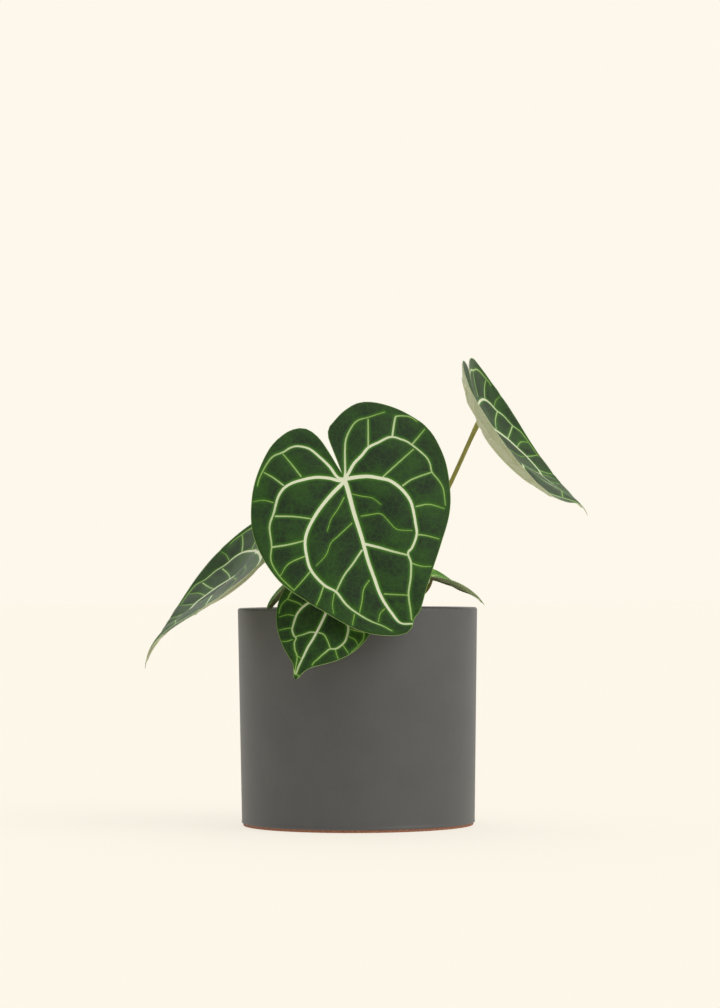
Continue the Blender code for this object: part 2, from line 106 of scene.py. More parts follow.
# A vein: half its width in millimetres at its root and at its end, then its route, each point being degrees
# round from the midrib and the share of the way from the stalk to the margin. Main veins start at the stalk.
MAIN_VEINS = [
    (1.15, .5, [(0, 0), (6, .16), (4, .26), (1, .41), (0, .52), (-1, .66), (0, .78), (1, .87), (2, .94), (-1, 1)]),
    (1.05, .3, [(0, 0), (-80, .11), (-77, .22), (-72, .32), (-68, .42), (-60, .52), (-53, .6), (-47, .65),
                (-40, .71), (-35, .76), (-28, .77), (-24, .76), (-22, .82), (-17, .87), (-11, .9), (-6, .95),
                (-2, .99)]),
    (.8, .25, [(0, 0), (-125, .07), (-128, .2), (-124, .31), (-123, .43), (-118, .53), (-114, .65), (-107, .7),
               (-101, .74), (-89, .82), (-83, .84), (-77, .84), (-72, .89), (-67, .93), (-58, .95)]),
    (.62, .22, [(0, 0), (-150, .08), (-153, .16), (-155, .42), (-153, .59), (-146, .74), (-137, .8), (-129, .91)]),
    (1.0, .32, [(0, 0), (46, .04), (59, .17), (59, .31), (57, .44), (54, .56), (50, .64), (44, .71), (37, .78),
                (27, .81), (20, .78), (16, .81), (13, .84), (10, .89), (8, .92), (7, .96)]),
    (.95, .2, [(0, 0), (94, .06), (113, .17), (113, .33), (108, .47), (104, .59), (99, .67), (92, .72), (83, .76),
               (76, .83), (66, .88), (60, .95), (51, .97), (41, .98)]),
    (.78, .22, [(0, 0), (128, .09), (155, .26), (157, .46), (156, .63), (150, .75), (144, .8), (137, .83),
                (130, .91), (122, .94), (111, .96), (105, .96)]),
]
SIDE_VEINS = [
    (.62, .42, [(1, .42), (-10, .53), (-17, .64), (-23, .76)]),
    (.5, .4, [(3, .45), (11, .53), (16, .62), (20, .77)]),
    (.4, .32, [(-124, .44), (-137, .77)]),
    (.5, .25, [(-113, .66), (-121, .87), (-121, .92), (-116, .98), (-111, .98)]),
    (.36, .25, [(-100, .76), (-105, .97)]),
    (.36, .3, [(-73, .35), (-96, .74)]),
    (.4, .34, [(-64, .53), (-71, .63), (-77, .84)]),
    (.34, .22, [(-50, .67), (-55, .79), (-56, .94)]),
    (.36, .22, [(-35, .76), (-38, .84), (-41, .97)]),
    (.3, .2, [(-22, .82), (-25, .91), (-28, .98)]),
    (.3, .25, [(-2, .78), (-10, .9)]),
    (.4, .34, [(80, .75), (72, .59), (59, .47)]),
    (.42, .36, [(65, .88), (59, .76), (51, .63)]),
    (.32, .2, [(44, .71), (51, .85), (51, .96)]),
    (.34, .22, [(37, .79), (39, .88), (41, .98)]),
    (.34, .22, [(27, .82), (28, .92), (29, .98)]),
    (.4, .3, [(103, .67), (111, .81), (115, .93)]),
    (.34, .28, [(113, .5), (127, .66), (135, .82)]),
]
THIN_VEINS = [
    (.24, .14, [(23, .14), (33, .26), (38, .36), (37, .46)]),
    (.26, .16, [(10, .28), (25, .44), (30, .52), (31, .62), (35, .73)]),
    (.22, .12, [(-3, .11), (-24, .19), (-34, .27), (-34, .36)]),
    (.24, .15, [(-4, .27), (-16, .32), (-26, .39), (-27, .48), (-28, .58), (-35, .71)]),
    (.26, .2, [(2, .64), (6, .67), (9, .75), (12, .83)]),
    (.2, .16, [(2, .83), (5, .84), (8, .89)]),
    (.2, .16, [(14, .85), (17, .97)]),
    (.22, .14, [(21, .8), (22, .89), (22, .96)]),
    (.24, .14, [(90, .76), (94, .87), (95, .98)]),
]


class Leaf:
    """One blade and its stalk. Lengths are metres and angles are degrees.

    at: where the blade meets its stalk. points: the midrib's direction. faces: the upper side's direction.
    halves: how far the right and left halves lift from flat. curls: how far each then curls up.
    droop and hook: how far the midrib bends down, evenly and then at the tip. lobes: the back lobes' droop.
    twist: how far the blade rolls about its midrib, for each blade width ahead of the stalk.
    sway: how far the tip swings to the left, in blade widths.
    stalk: compass bearing, height and slope of its foot, and how strongly each end holds its direction.
    enters: shares of the blade's facing and pointing directions in the stalk's last direction.
    sides and rings: the coarse grid. veins: its net, which flip mirrors. finest: the net's edge in millimetres.
    """

    def __init__(self, name, at, points, faces, width, right=HEART, left=HEART, halves=(0, 0), curls=(0, 0),
                 droop=0, hook=0, lobes=0, twist=0, sway=0, sides=120, rings=22,
                 veins=MAIN_VEINS + SIDE_VEINS + THIN_VEINS, flip=1, slim=1, finest=.44, young=False,
                 radius=1 * MM, stalk=(0, 110 * MM, 45), holds=(.4, .3), enters=(1, 0), seed=0):
        self.name = name
        self.at = Vector(at) * MM
        self.width = width * MM
        self.right = right
        self.left = left
        self.halves = halves
        self.curls = curls
        self.droop = droop
        self.hook = hook
        self.lobes = lobes
        self.twist = twist
        self.sway = sway
        self.sides = sides
        self.rings = rings
        self.veins = veins
        self.flip = flip
        self.slim = slim
        self.finest = finest
        self.radius = radius
        self.stalk = stalk
        self.holds = holds
        self.enters = enters
        self.young = young
        self.seed = seed
        along = Vector(points).normalized()
        up = Vector(faces)
        up = (up - along * up.dot(along)).normalized()
        self.along = along
        self.up = up
        self.across = along.cross(up)


LEAVES = [
    Leaf("front", (-6.4, -50, 182), (.40, -.34, -.85), (.15, -.90, .42), 106, FRONT_RIGHT, FRONT_LEFT,
         halves=(5, 5), curls=(-22, -12), droop=8, lobes=8, sway=.085, finest=.4, radius=1.25 * MM,
         stalk=(-95, 112 * MM, 62), holds=(.5, .22), enters=(.8, .5)),
    Leaf("upper_right", (67.4, 5, 217), (.472, .109, -.875), (.88, -.008, .474), 86.5,
         halves=(-1, -32), curls=(50, 65), droop=-50, hook=65, lobes=-32, twist=2, sway=.13, flip=-1,
         seed=1, radius=1.18 * MM, stalk=(4, 114 * MM, 48), holds=(.4, .14), enters=(1, -.6)),
    Leaf("left", (-54.1, -8, 144.4), (-.53, -.347, -.774), (-.845, .144, .515), 93.5,
         halves=(-38, 7), curls=(36, 58), droop=-36, hook=78, lobes=-11, twist=-2, sway=-.10, seed=2,
         radius=1.15 * MM, stalk=(160, 112 * MM, 36), holds=(.42, .33), enters=(1, -.1)),
    Leaf("hanging", (-14, -66, 119.7), (-.38, -.40, -.84), (-.40, -.75, .50), 50, HANGING, HANGING,
         halves=(-20, 12), curls=(-20, 0), hook=20, lobes=5, sway=-.02, sides=72, rings=14, slim=.72,
         flip=-1, seed=3, veins=MAIN_VEINS + SIDE_VEINS, radius=.95 * MM,
         stalk=(-112, 107 * MM, 28), holds=(.45, .2), enters=(.85, .5)),
    Leaf("small_right", (39.6, -10, 131.1), (.742, -.587, -.325), (.354, -.069, .933), 39.7, YOUNG, YOUNG,
         halves=(4, -11), curls=(3, 17), droop=-2, hook=40, lobes=-25, twist=31, sway=.10, sides=56,
         rings=12, slim=.5, seed=4, young=True, veins=MAIN_VEINS, radius=.75 * MM,
         stalk=(-35, 108 * MM, 45), holds=(.4, .4), enters=(1, -.2)),
    Leaf("young_left", (-30.5, -23, 129.4), (-.84, -.10, -.54), (-.54, -.04, .84), 30,
         halves=(14, 14), curls=(-5, -5), droop=26, sides=56, rings=12, slim=.5, seed=5, young=True,
         veins=MAIN_VEINS, radius=.8 * MM, stalk=(-145, 110 * MM, 48), holds=(.4, .3), enters=(1, .1)),
]


# Material helpers
def linear(colour):
    """An sRGB hex colour as linear RGBA."""
    parts = [int(colour[place:place + 2], 16) / 255 for place in (1, 3, 5)]
    return (*[part / 12.92 if part <= .04045 else ((part + .055) / 1.055) ** 2.4 for part in parts], 1)


def add(tree, kind, inputs, **settings):
    """Adds a node. inputs gives each socket a value, or another node's output to read."""
    made = tree.nodes.new(kind)
    for name, value in settings.items():
        setattr(made, name, value)
    for socket, value in inputs.items():
        if isinstance(value, bpy.types.NodeSocket):
            tree.links.new(value, made.inputs[socket])
        else:
            made.inputs[socket].default_value = value
    return made


def shade(name, **constants):
    """A new material's node tree and its shader, with the shader's constants set."""
    surface = bpy.data.materials.new(name)
    surface.use_nodes = True
    shader = surface.node_tree.nodes["Principled BSDF"]
    for socket, value in constants.items():
        shader.inputs[socket.replace("_", " ")].default_value = value
    return surface, surface.node_tree, shader


def ramp(tree, value, low, high, first=0.0, last=1.0):
    """Maps a value from low..high to first..last with soft ends."""
    return add(tree, "ShaderNodeMapRange", {"Value": value, "From Min": low, "From Max": high,
                                            "To Min": first, "To Max": last},
               interpolation_type="SMOOTHSTEP").outputs["Result"]


def blend(tree, share, first, second):
    """Mixes two colours by a share."""
    return add(tree, "ShaderNodeMix", {"Factor": share, "A": first, "B": second}, data_type="RGBA")


# Blades: mesh
def smooth_line(points, per_span):
    """A Catmull-Rom line through the points."""
    points = np.asarray(points, float)
    padded = np.vstack([2 * points[0] - points[1], points, 2 * points[-1] - points[-2]])
    line = []
    for index in range(len(points) - 1):
        a, b, c, d = padded[index:index + 4]
        for step in range(per_span):
            t = step / per_span
            line.append(.5 * (2 * b + (c - a) * t + (2 * a - 5 * b + 4 * c - d) * t * t
                              + (3 * b - a - 3 * c + d) * t ** 3))
    line.append(points[-1])
    return np.array(line)


def even_line(points, count):
    """The same line with count + 1 evenly spread points."""
    steps = np.r_[0, np.cumsum(np.linalg.norm(np.diff(points, axis=0), axis=1))]
    wanted = np.linspace(0, steps[-1], count + 1)
    return np.stack([np.interp(wanted, steps, column) for column in points.T], axis=1)


def half_outline(half, side):
    degrees, reach = np.array(half, float).T
    turn = np.radians(degrees)
    return smooth_line(np.stack([side * reach * np.sin(turn), reach * np.cos(turn)], axis=1), 8)


def margin(leaf, count):
    """The margin in blade widths, from the notch round the right half to the tip and back round the left."""
    right = even_line(half_outline(leaf.right, -1), count // 2)
    left = even_line(half_outline(leaf.left, 1), count // 2)
    return np.vstack([right[::-1], left[1:]])


def bent_line(angles, length):
    """Along and up, at even steps of a line of this length whose slope follows the angles."""
    step = length / (len(angles) - 1)
    return np.r_[0, np.cumsum(np.cos(angles))[:-1]] * step, np.r_[0, np.cumsum(np.sin(angles))[:-1]] * step


def blade_place(leaf, u, v):
    """World places of points on the upper side, given in blade widths across and along from the stalk."""
    share = np.linspace(0, 1, 200)
    across = np.zeros_like(u)
    raised = np.zeros_like(u)
    for side, lift, curl in ((-1, leaf.halves[0], leaf.curls[0]), (1, leaf.halves[1], leaf.curls[1])):
        slope = np.radians(lift) * (1 - np.exp(-share / CREASE)) + np.radians(curl) * share
        out, up = bent_line(slope, HALF * leaf.width)
        here = u * side > 0
        across[here] = side * np.interp(np.abs(u[here]) / HALF, share, out)
        raised[here] = np.interp(np.abs(u[here]) / HALF, share, up)
    across += leaf.sway * leaf.width * np.sin(np.pi * np.clip(v / SWAY_REACH, 0, 2) ** 2)

    along = np.zeros_like(u)
    risen = np.zeros_like(u)
    slope_here = np.zeros_like(u)
    for way, reach, bend in ((1, AHEAD, -np.radians(leaf.droop) * share - np.radians(leaf.hook) * share ** 8),
                             (-1, BEHIND, -np.radians(leaf.lobes) * share)):
        out, up = bent_line(bend, reach * leaf.width)
        here = v * way > 0
        along[here] = way * np.interp(np.abs(v[here]) / reach, share, out)
        risen[here] = np.interp(np.abs(v[here]) / reach, share, up)
        slope_here[here] = way * np.interp(np.abs(v[here]) / reach, share, bend)

    roll = np.radians(leaf.twist) * v
    rolled = across * np.cos(roll) - raised * np.sin(roll)
    lifted = across * np.sin(roll) + raised * np.cos(roll)
    forward = along - np.sin(slope_here) * lifted
    upward = risen + np.cos(slope_here) * lifted
    local = np.stack([rolled, forward, upward], axis=-1)
    return np.array(leaf.at) + local @ np.array([leaf.across, leaf.along, leaf.up])


def blade_up(leaf, u, v):
    """The upper side's direction at points of the blade."""
    step = .004
    across = blade_place(leaf, u + step, v) - blade_place(leaf, u - step, v)
    along = blade_place(leaf, u, v + step) - blade_place(leaf, u, v - step)
    normal = np.cross(across, along)
    return normal / np.linalg.norm(normal, axis=1)[:, None]


def vein_spans(leaf):
    """The net as short straight spans on the flat blade: starts, ends, and half widths at both, in millimetres."""
    edge = margin(leaf, 400)
    turn = np.degrees(np.arctan2(edge[:, 0], edge[:, 1]))
    reach = np.hypot(edge[:, 0], edge[:, 1]) * leaf.width / MM
    order = np.argsort(turn)
    draw = np.random.default_rng(leaf.seed)
    starts, ends, halves = [], [], []
    for root, tip, route in leaf.veins:
        degrees, share = np.array(route, float).T
        degrees = degrees * leaf.flip
        if leaf.seed:
            degrees = degrees + draw.normal(0, 1.6) * share
        distance = share * np.interp(degrees, turn[order], reach[order])
        flat = np.stack([distance * np.sin(np.radians(degrees)), distance * np.cos(np.radians(degrees))], axis=1)
        line = smooth_line(flat, 5)
        half = np.linspace(root, tip, len(line)) * leaf.slim
        starts.append(line[:-1])
        ends.append(line[1:])
        halves.append(np.stack([half[:-1], half[1:]], axis=1))
    return np.vstack(starts), np.vstack(ends), np.vstack(halves)


def nearest_span(spans, flat):
    """For points of the flat blade: the gap to the nearest span's border, and that span's half width there."""
    starts, ends, halves = spans
    x, y = starts.T
    run_x, run_y = (ends - starts).T
    length2 = np.maximum(run_x ** 2 + run_y ** 2, 1e-9)
    widening = halves[:, 1] - halves[:, 0]
    gap = np.empty(len(flat))
    half = np.empty(len(flat))
    for first in range(0, len(flat), POINTS_AT_ONCE):
        some = flat[first:first + POINTS_AT_ONCE]
        away_x = some[:, :1] - x
        away_y = some[:, 1:] - y
        share = np.clip((away_x * run_x + away_y * run_y) / length2, 0, 1)
        width = halves[:, 0] + share * widening
        beyond = np.sqrt((away_x - share * run_x) ** 2 + (away_y - share * run_y) ** 2) - width
        nearest = np.argmin(beyond, axis=1)
        rows = np.arange(len(some))
        gap[first:first + POINTS_AT_ONCE] = beyond[rows, nearest]
        half[first:first + POINTS_AT_ONCE] = width[rows, nearest]
    return gap, half


def margin_distance(leaf, flat):
    """How far points of the flat blade are from the margin, in millimetres."""
    edge = margin(leaf, 240) * leaf.width / MM
    return nearest_span((edge[:-1], edge[1:], np.zeros((len(edge) - 1, 2))), flat)[0]


def flat_blade(leaf, spans):
    """The upper side laid flat in millimetres: a fan of faces from the stalk, finer along the veins."""
    bm = bmesh.new()
    bmesh.ops.create_grid(bm, x_segments=leaf.sides, y_segments=leaf.rings, size=1)
    edge = margin(leaf, leaf.sides) * leaf.width / MM
    for vert in bm.verts:
        column = round((vert.co.x + 1) / 2 * leaf.sides)
        ring = (vert.co.y + 1) / 2
        vert.co = (edge[column, 0] * ring, edge[column, 1] * ring, 0)
    bmesh.ops.remove_doubles(bm, verts=bm.verts, dist=.001)
    bmesh.ops.triangulate(bm, faces=bm.faces)
    for _ in range(4):
        bm.verts.index_update()
        flat = np.array([vert.co.xy for vert in bm.verts])
        gap = nearest_span(spans, flat)[0]
        wanted = np.minimum(leaf.finest + .42 * np.maximum(gap - .35, 0), 1.7) * 1.3
        coarse = [side for side in bm.edges
                  if side.calc_length() > min(wanted[side.verts[0].index], wanted[side.verts[1].index])]
        if not coarse:
            break
        bmesh.ops.subdivide_edges(bm, edges=coarse, cuts=1, use_grid_fill=True)
        bmesh.ops.triangulate(bm, faces=[face for face in bm.faces if len(face.verts) > 3])
    return bm


BLADE_THICK = .5
VEIN_GROOVE = .22
PUFF = .55
PUFF_REACH = 3.2


def make_blade(leaf, upper, under):
    """A blade with its veins pressed in above and standing out below, and the skin between them swelling."""
    spans = vein_spans(leaf)
    bm = flat_blade(leaf, spans)
    twin = bm.verts.layers.int.new("twin")
    bm.verts.index_update()
    for vert in bm.verts:
        vert[twin] = vert.index
    flat = np.array([vert.co.xy for vert in bm.verts])
    made = bmesh.ops.extrude_face_region(bm, geom=bm.faces[:], use_keep_orig=True)["geom"]
    for item in made:
        if isinstance(item, bmesh.types.BMVert):
            item.co.z = -1
    for face in bm.faces:
        face.material_index = 0 if all(vert.co.z == 0 for vert in face.verts) else 1
        face.smooth = True
    bmesh.ops.recalc_face_normals(bm, faces=bm.faces)
    mesh = bpy.data.meshes.new("leaf_" + leaf.name)
    bm.to_mesh(mesh)
    bm.free()
    mesh.materials.append(upper)
    mesh.materials.append(under)

    count = len(mesh.vertices)
    twins = np.empty(count, np.int32)
    mesh.attributes["twin"].data.foreach_get("value", twins)
    mesh.attributes.remove(mesh.attributes["twin"])
    places = np.empty(count * 3, np.float32)
    mesh.vertices.foreach_get("co", places)
    below = places.reshape(-1, 3)[:, 2] < -.5

    gap, half = nearest_span(spans, flat)
    edge = margin_distance(leaf, flat)
    u, v = (flat * MM / leaf.width).T
    top = blade_place(leaf, u, v)
    up = blade_up(leaf, u, v)
    sunk = VEIN_GROOVE * np.minimum(half / .8, 1) / (1 + np.exp(np.clip(gap / .18, -30, 30)))
    swell = PUFF * leaf.slim * (1 - np.exp(-np.maximum(gap, 0) / PUFF_REACH))
    rib = (1.1 * half + .1) * np.exp(-(np.maximum(gap + half, 0) / (half + .12)) ** 2)
    knob = 1.1 * leaf.slim * np.exp(-(np.hypot(*flat.T) / 2.6) ** 2)
    thin = np.clip(edge / 1.2, 0, 1) ** .5
    above = (swell - sunk) * MM
    beneath = (swell - BLADE_THICK * (.35 + .65 * thin) - (rib + knob) * thin) * MM
    offset = np.where(below, beneath[twins], above[twins])
    mesh.vertices.foreach_set("co", (top[twins] + up[twins] * offset[:, None]).astype(np.float32).ravel())
    for name, values in (("gap", gap), ("half", half), ("edge", edge)):
        mesh.attributes.new(name, "FLOAT", "POINT").data.foreach_set("value", values[twins].astype(np.float32))
    skin = np.hstack([flat, np.zeros((len(flat), 1))])[twins].astype(np.float32)
    mesh.attributes.new("skin", "FLOAT_VECTOR", "POINT").data.foreach_set("vector", skin.ravel())
    mesh.update()
    return add_piece("blade_" + leaf.name, mesh, "young_leaf" if leaf.young else "leaf", "leaf_" + leaf.name)


def add_piece(name, mesh, slot, *nodes):
    """Links a finished piece, which rides on the one body and stands for the named solids."""
    piece = bpy.data.objects.new(name, mesh)
    bpy.context.scene.collection.objects.link(piece)
    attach(piece, "root")
    if nodes:
        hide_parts(*nodes)
    return piece


# Blades: finishes
def velvet(name, deep, fresh, halo, link, cream, sheen):
    """Anthurium leaf, upper side: fine upright cells give a soft, almost unreflecting surface that turns silvery
    where it is seen edge on, and cream veins stand in it with a bright green border."""
    surface, tree, shader = shade(name, Roughness=.62, Sheen_Weight=sheen, Sheen_Roughness=.42,
                                  Sheen_Tint=linear("#c9d6c4"), Specular_IOR_Level=.22)
    gap = add(tree, "ShaderNodeAttribute", {}, attribute_name="gap").outputs["Fac"]
    half = add(tree, "ShaderNodeAttribute", {}, attribute_name="half").outputs["Fac"]
    edge = add(tree, "ShaderNodeAttribute", {}, attribute_name="edge").outputs["Fac"]
    skin = add(tree, "ShaderNodeAttribute", {}, attribute_name="skin").outputs["Vector"]
    cloud = add(tree, "ShaderNodeTexNoise", {"Vector": skin, "Scale": 1 / 16, "Detail": 3})
    grain = add(tree, "ShaderNodeTexNoise", {"Vector": skin, "Scale": 1 / .7, "Detail": 2})
    cells = add(tree, "ShaderNodeTexVoronoi", {"Vector": skin, "Scale": 1 / 3.4},
                feature="DISTANCE_TO_EDGE")
    cell = blend(tree, ramp(tree, cloud.outputs["Fac"], .35, .7), linear(deep), linear(fresh))
    cell = blend(tree, ramp(tree, edge, 9, 0, 0, .35), cell.outputs["Result"], linear(fresh))
    cell = blend(tree, ramp(tree, cells.outputs["Distance"], .09, 0, 0, .16), cell.outputs["Result"], linear(halo))
    cell = blend(tree, ramp(tree, grain.outputs["Fac"], .3, .75, 0, .16), cell.outputs["Result"], linear(fresh))
    strong = ramp(tree, half, .1, .8, .4, 1)
    near = ramp(tree, gap, 2.4, -.1)
    border = add(tree, "ShaderNodeMath", {0: near, 1: near}, operation="MULTIPLY")
    border = add(tree, "ShaderNodeMath", {0: border.outputs[0], 1: strong}, operation="MULTIPLY")
    cell = blend(tree, border.outputs[0], cell.outputs["Result"], linear(halo))
    fuzz = add(tree, "ShaderNodeMath", {0: grain.outputs["Fac"], 1: .35, 2: gap}, operation="MULTIPLY_ADD")
    core = ramp(tree, fuzz.outputs[0], .34, .04)
    pale = blend(tree, ramp(tree, half, .2, .7), linear(link), linear(cream))
    colour = blend(tree, core, cell.outputs["Result"], pale.outputs["Result"])
    colour = blend(tree, ramp(tree, edge, .5, 0, 0, .7), colour.outputs["Result"], linear(link))
    tree.links.new(colour.outputs["Result"], shader.inputs["Base Color"])
    bump = add(tree, "ShaderNodeBump", {"Height": grain.outputs["Fac"], "Strength": .25, "Distance": .1 * MM})
    tree.links.new(bump.outputs["Normal"], shader.inputs["Normal"])
    return surface


def underside(name, skin_colour, vein_colour, net_colour):
    """Anthurium leaf, underside: smooth, pale and slightly waxy, with paler ribs and a fine net."""
    surface, tree, shader = shade(name, Roughness=.5, Specular_IOR_Level=.35)
    gap = add(tree, "ShaderNodeAttribute", {}, attribute_name="gap").outputs["Fac"]
    half = add(tree, "ShaderNodeAttribute", {}, attribute_name="half").outputs["Fac"]
    skin = add(tree, "ShaderNodeAttribute", {}, attribute_name="skin").outputs["Vector"]
    cloud = add(tree, "ShaderNodeTexNoise", {"Vector": skin, "Scale": 1 / 9, "Detail": 3})
    cells = add(tree, "ShaderNodeTexVoronoi", {"Vector": skin, "Scale": 1 / 2.6},
                feature="DISTANCE_TO_EDGE")
    base = blend(tree, ramp(tree, cloud.outputs["Fac"], .3, .75, 0, .5), linear(skin_colour), linear(net_colour))
    base = blend(tree, ramp(tree, cells.outputs["Distance"], .1, 0, 0, .35), base.outputs["Result"],
                 linear(net_colour))
    rib = ramp(tree, gap, .25, -.15)
    strong = ramp(tree, half, .1, .6, .4, 1)
    rib = add(tree, "ShaderNodeMath", {0: rib, 1: strong}, operation="MULTIPLY")
    base = blend(tree, rib.outputs[0], base.outputs["Result"], linear(vein_colour))
    tree.links.new(base.outputs["Result"], shader.inputs["Base Color"])
    bump = add(tree, "ShaderNodeBump", {"Height": cells.outputs["Distance"], "Strength": .3, "Distance": .15 * MM})
    tree.links.new(bump.outputs["Normal"], shader.inputs["Normal"])
    return surface


# Round bodies along a line
def swept(name, centres, radii, sides, surface):
    """A closed round body along a line. Attributes give the share of its length, and its grain in millimetres."""
    rings = len(centres) - 1
    ahead = np.gradient(centres, axis=0)
    ahead /= np.linalg.norm(ahead, axis=1)[:, None]
    first = Vector(ahead[0]).orthogonal().normalized()
    firsts = []
    for direction in ahead:
        first = (first - Vector(direction) * first.dot(Vector(direction))).normalized()
        firsts.append(np.array(first))
    firsts = np.array(firsts)
    seconds = np.cross(ahead, firsts)
    steps = np.r_[0, np.cumsum(np.linalg.norm(np.diff(centres, axis=0), axis=1))]
    bm = bmesh.new()
    bmesh.ops.create_grid(bm, x_segments=sides, y_segments=rings, size=1)
    share = bm.verts.layers.float.new("share")
    grain = bm.verts.layers.float_vector.new("grain")
    for vert in bm.verts:
        ring = round((vert.co.y + 1) / 2 * rings)
        turn = math.tau * (vert.co.x + 1) / 2
        across = firsts[ring] * math.cos(turn) + seconds[ring] * math.sin(turn)
        vert[share] = steps[ring] / steps[-1]
        vert[grain] = (radii[ring] / MM * math.cos(turn), radii[ring] / MM * math.sin(turn), steps[ring] / MM)
        vert.co = centres[ring] + across * radii[ring]
    bmesh.ops.remove_doubles(bm, verts=bm.verts, dist=.001 * MM)
    bmesh.ops.recalc_face_normals(bm, faces=bm.faces)
    for face in bm.faces:
        face.smooth = True
    mesh = bpy.data.meshes.new(name)
    bm.to_mesh(mesh)
    bm.free()
    mesh.materials.append(surface)
    return mesh


def bezier(p0, p1, p2, p3, count):
    t = np.linspace(0, 1, count)[:, None]
    return (1 - t) ** 3 * p0 + 3 * (1 - t) ** 2 * t * p1 + 3 * (1 - t) * t * t * p2 + t ** 3 * p3


def make_stalk(leaf, surface):
    """A stalk from the stem's side to the blade's underside, with a broad foot and a swollen knee."""
    bearing, height, slope = leaf.stalk
    bearing = math.radians(bearing)
    slope = math.radians(slope)
    foot_radius = leaf.radius * STALK_FLARE
    out = Vector((math.cos(bearing), math.sin(bearing), 0))
    rises = out * math.cos(slope) + Vector((0, 0, math.sin(slope)))
    foot = out * (STEM_RADIUS + CLEAR + foot_radius * math.sin(slope)) + Vector((0, 0, height))
    enters = (leaf.up * leaf.enters[0] + leaf.along * leaf.enters[1]).normalized()
    top = leaf.at - leaf.up * .7 * MM
    span = (top - foot).length
    line = bezier(np.array(foot), np.array(foot + rises * span * leaf.holds[0]),
                  np.array(top - enters * span * leaf.holds[1]), np.array(top), 120)
    line = np.vstack([np.array(foot) - np.array(rises) * 3 * MM, line])
    count = 90
    centres = even_line(line, count)
    share = np.linspace(0, 1, count + 1)
    length = np.linalg.norm(np.diff(centres, axis=0), axis=1).sum()
    from_top = (1 - share) * length
    flare = (STALK_FLARE - 1) * np.clip(1 - share / .22, 0, 1) ** 2
    knee = (KNEE_SWELL - 1) * np.exp(-((from_top - KNEE_LENGTH / 2) / (KNEE_LENGTH / 2)) ** 2)
    radii = leaf.radius * (1 + flare + knee)
    radii[[0, -1]] = 0
    mesh = swept("stalk_" + leaf.name, centres, radii, 24, surface)
    add_piece("petiole_" + leaf.name, mesh, "stalk", "stalk_" + leaf.name)


def stalk_finish():
    """Anthurium petiole: smooth waxy olive skin, browner at its foot, yellower at the knee below the blade."""
    surface, tree, shader = shade("waxy_olive_petiole", Roughness=.42, Specular_IOR_Level=.4)
    share = add(tree, "ShaderNodeAttribute", {}, attribute_name="share").outputs["Fac"]
    grain = add(tree, "ShaderNodeAttribute", {}, attribute_name="grain").outputs["Vector"]
    long_grain = add(tree, "ShaderNodeMapping", {"Vector": grain, "Scale": (1, 1, .07)})
    streaks = add(tree, "ShaderNodeTexNoise", {"Vector": long_grain.outputs["Vector"], "Scale": 2.2, "Detail": 3})
    specks = add(tree, "ShaderNodeTexNoise", {"Vector": grain, "Scale": 2.6, "Detail": 2})
    colour = blend(tree, ramp(tree, streaks.outputs["Fac"], .3, .7), linear("#847f2f"), linear("#a8a35a"))
    colour = blend(tree, ramp(tree, share, .3, 0, 0, .7), colour.outputs["Result"], linear("#6d6a3a"))
    colour = blend(tree, ramp(tree, share, .88, 1, 0, .6), colour.outputs["Result"], linear("#b9b56c"))
    colour = blend(tree, ramp(tree, specks.outputs["Fac"], .62, .74, 0, .35), colour.outputs["Result"],
                   linear("#5d5230"))
    tree.links.new(colour.outputs["Result"], shader.inputs["Base Color"])
    bump = add(tree, "ShaderNodeBump", {"Height": streaks.outputs["Fac"], "Strength": .3, "Distance": .1 * MM})
    tree.links.new(bump.outputs["Normal"], shader.inputs["Normal"])
    return surface


# Stem, roots and sheaths
def make_stem(surface):
    """A short trunk ringed by old leaf scars."""
    heights = np.arange(66 * MM, STEM_TOP, .35 * MM)
    ring = ((STEM_TOP - 5 * MM - heights) / SCAR_SPACING) % 1
    radii = STEM_RADIUS - .9 * MM * np.clip(1 - ring / .26, 0, 1) - .2 * MM * ring
    radii = np.minimum(radii, STEM_RADIUS * np.clip((STEM_TOP - heights) / (5 * MM), 0, 1) ** .5)
    radii[[0, -1]] = 0
    centres = np.stack([0 * heights, 0 * heights, heights], axis=1)
    mesh = swept("stem", centres, radii, 48, surface)
    add_piece("ringed_stem", mesh, "stem", "stem")


ROOTS = [(30, 106, 5), (88, 104, 6.5), (146, 103.5, 5), (-80, 103.4, 3.5)]


def make_roots(surface):
    """Stubby roots that leave the stem and turn down into the mix."""
    for number, (bearing, height, length) in enumerate(ROOTS):
        out = np.array([math.cos(math.radians(bearing)), math.sin(math.radians(bearing)), 0])
        start = out * (STEM_RADIUS - 2 * MM) + np.array([0, 0, height * MM])
        reach = length * MM + 3 * MM
        line = bezier(start, start + out * reach * .6, start + out * reach, start + out * reach - [0, 0, 9 * MM], 24)
        radii = 1.4 * MM * np.linspace(1, .7, 24)
        radii[[0, -1]] = 0
        mesh = swept("root", line, radii, 16, surface)
        add_piece(f"root_{number + 1}", mesh, "stem")


def stem_finish():
    """Anthurium stem: corky grey-brown rings over green, dull."""
    surface, tree, shader = shade("corky_green_stem", Roughness=.75, Specular_IOR_Level=.3)
    grain = add(tree, "ShaderNodeAttribute", {}, attribute_name="grain").outputs["Vector"]
    cork = add(tree, "ShaderNodeTexNoise", {"Vector": grain, "Scale": .8, "Detail": 4})
    colour = blend(tree, ramp(tree, cork.outputs["Fac"], .4, .6), linear("#6b6a3c"), linear("#7d6449"))
    tree.links.new(colour.outputs["Result"], shader.inputs["Base Color"])
    bump = add(tree, "ShaderNodeBump", {"Height": cork.outputs["Fac"], "Strength": .5, "Distance": .3 * MM})
    tree.links.new(bump.outputs["Normal"], shader.inputs["Normal"])
    return surface


